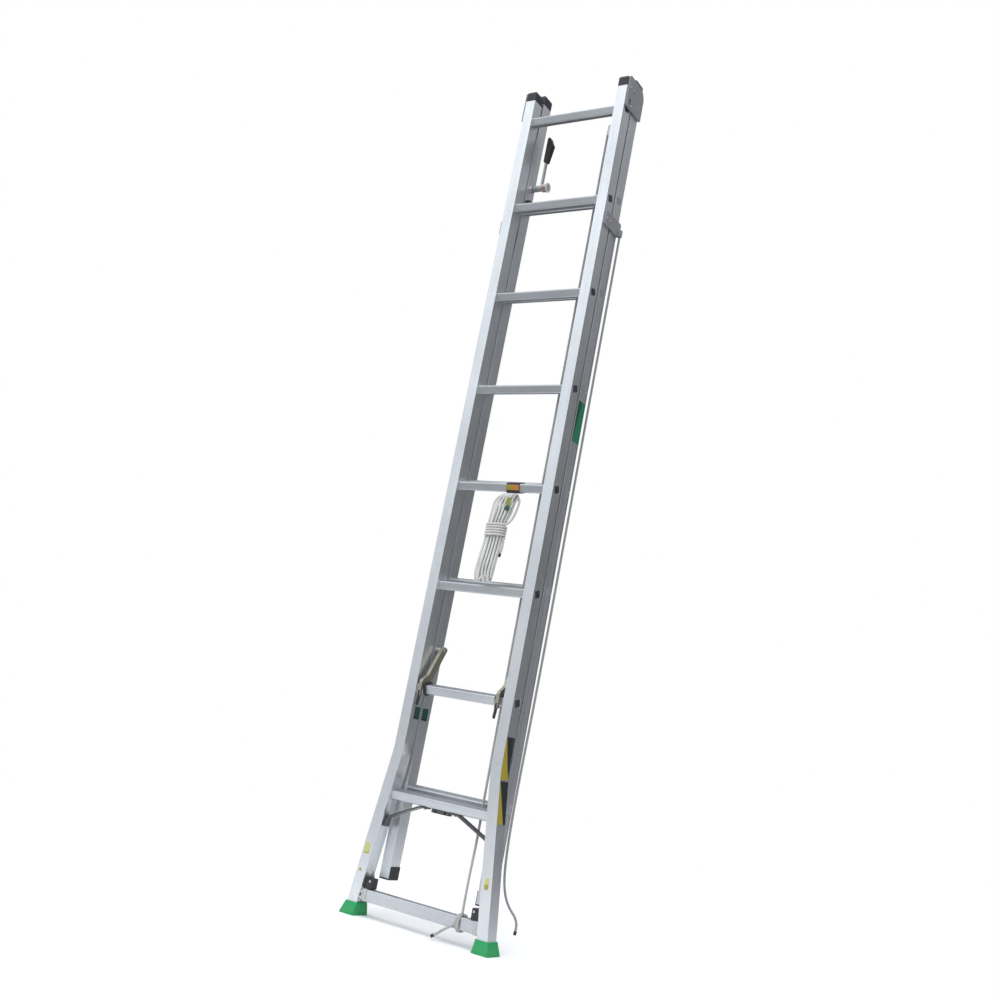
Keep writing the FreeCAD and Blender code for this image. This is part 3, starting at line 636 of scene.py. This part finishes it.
def knotRoute(settings):
    # turns round the bar, then the tail
    middle = (barLow + barHigh) / 2
    halfY = (barHigh.y - barLow.y) / 2 + rope["radius"]
    halfZ = (barHigh.z - barLow.z) / 2 + rope["radius"]
    points = []
    steps = 12
    for i in range(int(steps * settings["turns"]) + 1):
        turn = 2 * math.pi * i / steps + math.radians(settings["start"])
        x = settings["from"] + (settings["to"] - settings["from"]) * i / (steps * settings["turns"])
        flat = (abs(math.cos(turn)) ** 4 + abs(math.sin(turn)) ** 4) ** -0.25
        points.append((x, middle.y - halfY * flat * math.cos(turn) * 1.03,
                       middle.z + halfZ * flat * math.sin(turn) * 1.03))
    return points + settings["tail"]


knot = {
    "turns": 2.0, "start": 90, "from": 0.1495, "to": 0.1405,
    "tail": [
        (0.1405, -0.0420, 0.0850), (0.1395, -0.0485, 0.0700), (0.136, -0.0490, 0.0570),
        (0.126, -0.0478, 0.0500), (0.112, -0.0483, 0.0420), (0.097, -0.0533, 0.0290),
        (0.084, -0.0563, 0.0180), (0.072, -0.0573, 0.0100),
    ],
}

# slack line from the middle guide to the right leg, with its loose end near the ground
lineRoute = [
    (0.2095, 0.05575, 2.25195), (0.2095, 0.05575, 2.190), (0.209, 0.05625, 2.060), (0.208, 0.05715, 1.830),
    (0.2075, 0.05775, 1.540), (0.2073, 0.05755, 1.240), (0.2075, 0.05675, 0.950), (0.206, 0.05615, 0.700),
    (0.202, 0.05635, 0.490), (0.201, 0.05775, 0.350), (0.204, 0.05875, 0.254), (0.211, 0.05925, 0.190),
    (0.226, 0.05975, 0.148), (0.246, 0.06075, 0.122), (0.266, 0.06175, 0.106), (0.277, 0.06275, 0.084),
    (0.274, 0.06275, 0.058),
]

hank = {
    "turns": 10, "middle": 0.026, "spread": 0.0064, "topMiddle": 0.041, "topSpread": 0.0040, "topZ": 1.3365,
    "tieMiddle": 0.021, "tieZ": 1.213, "tieTurns": 5, "tieStep": 0.0083, "tieSqueeze": 0.86,
    "tieY": -0.0503, "tieHalfY": 0.0205, "lowMiddle": 0.022, "lowSpread": 0.0058, "bottom": 1.044,
    "fan": [0.002, 0.014, 0.0, 0.019, 0.008, 0.001, 0.016, 0.006],
}


def hankRoute(settings):
    points = []
    steps = 14
    first = settings["tieZ"] + 0.019
    for j in range(settings["turns"]):
        side = j - (settings["turns"] - 1) / 2
        deep = 0.004 if j % 2 else -0.004      # neighbours lie in two layers
        top = settings["topMiddle"] + side * settings["topSpread"]
        x = settings["middle"] + side * settings["spread"]
        tied = settings["tieMiddle"] + side * settings["spread"] * settings["tieSqueeze"]
        low = settings["lowMiddle"] + side * settings["lowSpread"]
        z = settings["bottom"] + settings["fan"][j % len(settings["fan"])]
        points += [
            (top, -0.0300 + deep, settings["topZ"]), (top - 0.002, -0.0430 + deep, settings["topZ"] - 0.004),
            (x, -0.0485 + deep, settings["topZ"] - 0.025), (x, -0.0530 + deep, 1.270),
            (tied, -0.0560 + deep, settings["tieZ"] + 0.03), (tied, -0.0585 + deep, settings["tieZ"] - 0.03),
            (low, -0.0690 + deep, 1.125), (low, -0.0780 + deep, z + 0.030),
            (low, -0.0735 + deep / 2, z + 0.002), (low, -0.0620 - deep / 2, z + 0.002),
            (low, -0.0590 - deep, z + 0.030), (low, -0.0540 - deep, 1.125),
            (tied, -0.0450 - deep, settings["tieZ"] - 0.03), (tied, -0.0415 - deep, settings["tieZ"] + 0.03),
            (x, -0.0320 - deep, 1.270), (x, -0.0230 - deep, settings["topZ"] - 0.027),
            (top + 0.002, -0.0200 - deep, settings["topZ"] - 0.005),
        ]
    halfX = settings["spread"] * settings["turns"] / 2 * settings["tieSqueeze"] + 0.0045
    middle = settings["tieMiddle"]
    points += [(0.070, -0.022, 1.318), (0.070, -0.030, 1.285), (0.064, -0.036, first + 0.022)]
    for i in range(steps * settings["tieTurns"] + 1):
        turn = 2 * math.pi * i / steps
        flat = (abs(math.cos(turn)) ** 3 + abs(math.sin(turn)) ** 3) ** (-1 / 3)
        points.append((middle + halfX * flat * math.cos(turn),
                       settings["tieY"] - settings["tieHalfY"] * flat * math.sin(turn),
                       first - settings["tieStep"] * i / steps))
    last = first - settings["tieStep"] * settings["tieTurns"]
    loose = [(0.001, -0.046, 0.016), (-0.002, -0.044, 0.040), (-0.006, -0.046, 0.060)]
    return points + [(middle + halfX + x, y, last - down) for x, y, down in loose]


def addRopes():
    radius = rope["radius"]
    bar, knotLine = layRope("barKnot", knotRoute(knot), radius, haulMaterial, "base", ("rope_tail",))
    whip = addWhipping("tailWhipping", knotLine, radius, "base")
    free, freeLine = layRope("haulingRope", freeRoute, radius, haulMaterial, "base", ("rope_free_run",))
    hoistRoute = [(runX, sheaveMid.y, sheaveMid.z), (runX, sheaveMid.y, runLow.z + 1.4),
                  (runX, sheaveMid.y, runLow.z + 0.7), (runX, sheaveMid.y, runLow.z)]
    hoist, hoistLine = layRope("hoistRope", hoistRoute, radius, haulMaterial, "base", ("rope_hoist_run",))
    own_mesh(hoist)
    slack, slackLine = layRope("slackLine", lineRoute, radius, shadedLineMaterial, "base", ("lashing_line",))
    slackWhip = addWhipping("slackWhipping", slackLine, radius, "base")
    bundle, bundleLine = layRope("ropeHank", hankRoute(hank), radius, ropeMaterial, "base", ("rope_hank",))
    bundleWhip = addWhipping("hankWhipping", bundleLine, radius, "base")
    print("ropes laid: hank", round(lengthOf(bundleLine), 2), "m, hauling", round(lengthOf(freeLine), 2), "m")


addRopes()

legShape = {"bend": 0.525, "radius": 0.300, "angle": 7.1, "middle": 0.179}


def legX(offset, z):
    # the leg's line moved outwards by offset, at one height
    turn = math.radians(legShape["angle"])
    radius = legShape["radius"] - offset
    low = legShape["bend"] - radius * math.sin(turn)
    centre = legShape["middle"] + legShape["radius"]
    if z >= legShape["bend"]:
        return legShape["middle"] + offset
    if z > low:
        return centre - math.sqrt(radius ** 2 - (legShape["bend"] - z) ** 2)
    return centre - radius * math.cos(turn) + (low - z) * math.tan(turn)


def addSticker(name, low, high, thinAxis, corner, material, body, shift=None):
    # thin plate with rounded corners; shift bends it along the leg
    piece = addBox(name, low, high)
    editEdges(piece, lambda middle, along: abs(along[thinAxis]) > 0.9)
    bpy.ops.mesh.bevel(offset=corner, segments=4, affect="EDGES")
    leaveEdit()
    if shift:
        cuts = 12
        for i in range(1, cuts):
            z = low[2] + (high[2] - low[2]) * i / cuts
            useOnly(piece)
            bpy.ops.object.mode_set(mode="EDIT")
            bpy.ops.mesh.select_all(action="SELECT")
            bpy.ops.mesh.bisect(plane_co=(0, 0, z), plane_no=(0, 0, 1))
        leaveEdit()
        for vertex in piece.data.vertices:
            vertex.co.x += shift(vertex.co.z)
    roundEdges(piece, 0.00012, 1, 50)
    return finishPiece(piece, material, body)


labelSettings = {
    "thick": 0.0004,
    "black": (0.016, 0.017, 0.022),
    "yellow": (0.36, 0.285, 0.03),
    "paleYellow": (0.50, 0.50, 0.16),
    "deepGreen": (0.006, 0.062, 0.034),
    "freshGreen": (0.014, 0.20, 0.095),
    "orange": (0.55, 0.22, 0.03),
    "limeGreen": (0.24, 0.28, 0.04),
}


def addLabels(settings):
    thick = settings["thick"]
    outerOf = lambda z: legX(0.018, z)
    width = 0.0445
    front = baseFront + 0.0015
    for name, z0, z1, share in (("legLabelUpper", 0.477, 0.600, 1.0), ("legLabelLower", 0.352, 0.473, 0.72)):
        slope = Vector((0, z1 - z0, width * share)).normalized()
        material = printedLabel(name + "Print", settings["yellow"], settings["black"], (0, front, z1), slope)
        addSticker(name, (0, front, z0), (thick, front + width, z1), 0, 0.003, material, "base",
                   outerOf)
    slope = Vector((0, 0.135, -0.02)).normalized()
    green = printedLabel("greenPrint", settings["deepGreen"], settings["freshGreen"],
                         (0, flyFront + 0.014, 1.60), slope)
    addSticker("flyLabel", (railOuter, flyFront + 0.002, 1.530),
               (railOuter + thick, flyBack - 0.003, 1.665), 0, 0.004, green, "fly")
    dark = printedLabel("darkPatch", settings["deepGreen"], settings["black"], (0, 0, 0.609), (0, 0, -1))
    addSticker("innerPatchBase", (-railInner, -0.0313, 0.602), (-railInner + thick, -0.0035, 0.640), 0, 0.002,
               dark, "base")
    addSticker("innerPatchFly", (-railInner, 0.0105, 0.602), (-railInner + thick, 0.0415, 0.640), 0, 0.002,
               dark, "fly")
    pale = printedLabel("paleYellowPrint", settings["paleYellow"], settings["yellow"],
                        (0, 0, 0.186), (0, 0, -1))
    for name, x0, x1, z0, z1 in (("footLabelLeft", -0.2300, -0.2110, 0.182, 0.213),
                                 ("footLabelRight", 0.2130, 0.2260, 0.172, 0.203),
                                 ("footDotLeft", -0.2345, -0.2265, 0.128, 0.137)):
        addSticker(name, (x0, baseFront - thick, z0), (x1, baseFront, z1), 1, 0.002, pale, "base")
    rung = rungPlace(5)
    tilt = Matrix.Rotation(math.radians(18), 4, "X")
    orange = printedLabel("orangePrint", settings["orange"], settings["yellow"],
                          (0.047, 0, 0), (-1, 0, 0), 0.006)
    tag = addBox("strapTag", (0.0235, -0.0196, -0.0065), (0.0705, -0.0188, 0.0105))
    tag.matrix_world = Matrix.Translation(rung) @ tilt @ tag.matrix_world
    applyPlace(tag)
    roundEdges(tag, 0.0003, 2, 50)
    finishPiece(tag, orange, "base")
    lime = printedLabel("limePrint", settings["limeGreen"], settings["deepGreen"],
                        (0, 0, 1.292), (0, 0, -1), 0.004)
    hanging = addBox("hankTag", (0.0455, -0.0605, 1.276), (0.0615, -0.0597, 1.318))
    editEdges(hanging, lambda middle, along: abs(along.y) > 0.9)
    bpy.ops.mesh.bevel(offset=0.003, segments=4, affect="EDGES")
    leaveEdit()
    roundEdges(hanging, 0.0002, 1, 50)
    finishPiece(hanging, lime, "base")
    print("labels placed")


addLabels(labelSettings)


def addScrew(name, place, out, radius, material, body, recess=0.45):
    # domed head with a recess in the middle
    place, out = Vector(place), Vector(out).normalized()
    head = addRod(name, place, place + out * radius * 0.55, radius, 24)
    editFaces(head, lambda centre, normal: normal.dot(out) > 0.9)
    bpy.ops.mesh.inset(thickness=radius * 0.35)
    bpy.ops.transform.translate(value=out * radius * 0.2)
    bpy.ops.mesh.inset(thickness=radius * (0.65 - recess) * 0.8)
    bpy.ops.mesh.extrude_region_move(TRANSFORM_OT_translate={"value": -out * radius * 0.35})
    leaveEdit()
    roundEdges(head, radius * 0.08, 2, 40)
    return finishPiece(head, material, body)


screwSettings = {
    "bracketRadius": 0.0042,
    "braceRadius": 0.0045,
    "blockRadius": 0.0035,
}


def copyPiece(piece, name, move, body):
    useOnly(piece)
    bpy.ops.object.duplicate()
    other = bpy.context.object
    other.name = name
    other.location = move
    applyPlace(other)
    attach(other, body)
    return other


def addScrews(settings):
    # the first screw of each size is modelled, and the others are copies of it
    bracketLow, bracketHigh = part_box("bar_bracket_right")
    blockLow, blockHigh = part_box("corner_block_right")
    bracketX = bracketLow.x + 0.026
    under = rungPlace(8)
    kinds = [
        ("bracketScrew%s0", "bracketRadius", (bracketX, bracketLow.y, barLow.z + 0.010), (0, -1, 0)),
        ("bracketScrew%s1", "bracketRadius", (bracketX, bracketLow.y, barHigh.z - 0.010), (0, -1, 0)),
        ("blockScrew%s", "blockRadius", (blockLow.x + 0.009, blockLow.y, blockHigh.z - 0.009), (0, -1, 0)),
        ("braceScrew%s", "braceRadius", (0.056, under.y, 0.3475), (0, 0, -1)),
    ]
    firsts = {}
    for side, tag in ((1, "Right"), (-1, "Left")):
        for name, size, (x, y, z), out in kinds:
            place = Vector((side * x, y, z))
            if size in firsts:
                screw, start = firsts[size]
                copyPiece(screw, name % tag, place - start, "base")
            else:
                screw = addScrew(name % tag, place, out, settings[size], turnedSteel, "base")
                firsts[size] = (screw, place)
    print("screws:", 2 * len(kinds))


addScrews(screwSettings)


springSettings = {
    "turns": 5.5, "wire": 0.0015, "radius": 0.0130,
    "hub": 0.0130,          # length of the lever's hub that the spring covers
    "ring": 0.0165, "ringWide": 0.0055,
}


def addLeverSpring(settings):
    # torsion spring on the lever's barrel, and the collar that keeps it on
    low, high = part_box("lever_pivot")
    middle = (low + high) / 2
    armLow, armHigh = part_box("lever_arm")
    start, end = armHigh.x - settings["hub"], high.x - 0.0072      # over the hub, then up to the collar
    count = round(settings["turns"] * 28)
    route = []
    for i in range(count + 1):
        turn = 2 * math.pi * i / 28
        route.append(Vector((start + (end - start) * i / count,
                             middle.y + settings["radius"] * math.cos(turn),
                             middle.z + settings["radius"] * math.sin(turn))))
    vertices, faces = [], []
    for i, point in enumerate(route):
        along = (route[min(i + 1, count)] - route[max(i - 1, 0)]).normalized()
        outward = Vector((0, point.y - middle.y, point.z - middle.z)).normalized()
        side = along.cross(outward)
        for k in range(8):
            a = 2 * math.pi * k / 8
            vertices.append(point + (outward * math.cos(a) + side * math.sin(a)) * settings["wire"])
    for i in range(count):
        for k in range(8):
            a, b = i * 8 + k, i * 8 + (k + 1) % 8
            faces.append((a, b, b + 8, a + 8))
    faces += [tuple(range(7, -1, -1)), tuple(range(count * 8, count * 8 + 8))]
    mesh = bpy.data.meshes.new("leverSpring")
    mesh.from_pydata(vertices, [], faces)
    spring = bpy.data.objects.new("leverSpring", mesh)
    bpy.context.scene.collection.objects.link(spring)
    copper = satinMetal("springSteel", {
        **metalSettings, "light": (0.62, 0.50, 0.48), "dull": (0.5, 0.42, 0.41),
        "stain": (0.3, 0.24, 0.22), "grain": (90, 90, 90),
    })
    finishPiece(spring, copper, "fly", 60)
    ring = addRod("leverCollar", (high.x - settings["ringWide"], middle.y, middle.z),
                  (high.x, middle.y, middle.z), settings["ring"], 40)
    editFaces(ring, lambda centre, normal: abs(normal.x) > 0.9)
    bpy.ops.mesh.inset(thickness=0.004)
    bpy.ops.mesh.extrude_region_shrink_fatten(TRANSFORM_OT_shrink_fatten={"value": -0.0012})
    leaveEdit()
    roundEdges(ring, 0.0008, 3, 40)
    finishPiece(ring, whitePlastic, "fly")
    stop = addBox("leverStop", (-railInner, flyFront + 0.004, 2.386),
                  (-railInner + 0.017, flyFront + 0.030, 2.404))
    roundEdges(stop, 0.003, 3, 40)
    finishPiece(stop, blackPlastic, "fly")
    print("lever spring ready")


addLeverSpring(springSettings)
